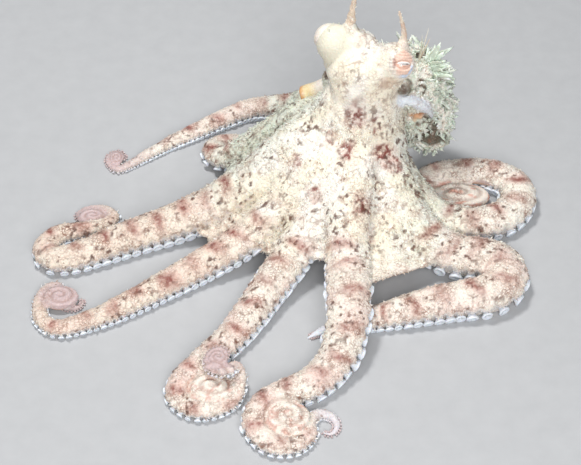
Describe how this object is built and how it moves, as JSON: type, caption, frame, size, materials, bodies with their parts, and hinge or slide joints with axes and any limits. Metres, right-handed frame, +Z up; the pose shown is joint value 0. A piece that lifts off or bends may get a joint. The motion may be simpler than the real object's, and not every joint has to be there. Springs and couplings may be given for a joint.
{
  "type": "octopus, life-size still model",
  "caption": "Small shaggy-skinned octopus with eye horns, standing on spread, curling arms, made as a still life-size model.",
  "frame": {"origin": "on the floor, at the middle of the bottom of the bounding box", "axes": "+Z up; the octopus looks along -Y and a little towards -X; its mantle hangs towards +Y and +X"},
  "size_m": [0.162, 0.154, 0.0761],
  "materials": {
    "skin": "moist mottled cream skin with red-brown cross bands and fine brown speckles",
    "head_skin": "moist pale cream skin with fine brown reticulation",
    "mantle_skin": "moist green-grey skin, rough with branching papillae",
    "funnel_skin": "smooth yellow-orange skin",
    "horn": "tan skin, finely ridged",
    "eye": "wet, pink-orange iris with a dark slit pupil",
    "sucker": "smooth bluish-white sucker skin",
    "papilla": "pale skin papillae"
  },
  "bodies": {
    "root": {"eye_right": "eye", "eye_left": "eye", "head": "head_skin", "horn_right": "horn", "horn_left": "horn", "mantle": "mantle_skin", "funnel": "funnel_skin", "arm_r1_base": "skin", "arm_r1_middle": "skin", "arm_r1_tip": "skin", "arm_r2_base": "skin", "arm_r2_middle": "skin", "arm_r2_tip": "skin", "arm_r3_base": "skin", "arm_r3_middle": "skin", "arm_r3_tip": "skin", "arm_r4_base": "skin", "arm_r4_middle": "skin", "arm_r4_tip": "skin", "arm_l1_base": "skin", "arm_l1_middle": "skin", "arm_l1_tip": "skin", "arm_l2_base": "skin", "arm_l2_middle": "skin", "arm_l2_tip": "skin", "arm_l3_base": "skin", "arm_l3_middle": "skin", "arm_l3_tip": "skin", "arm_l4_base": "skin", "arm_l4_middle": "skin", "arm_l4_tip": "skin", "arm_crown": "skin"}
  },
  "joints": []
}
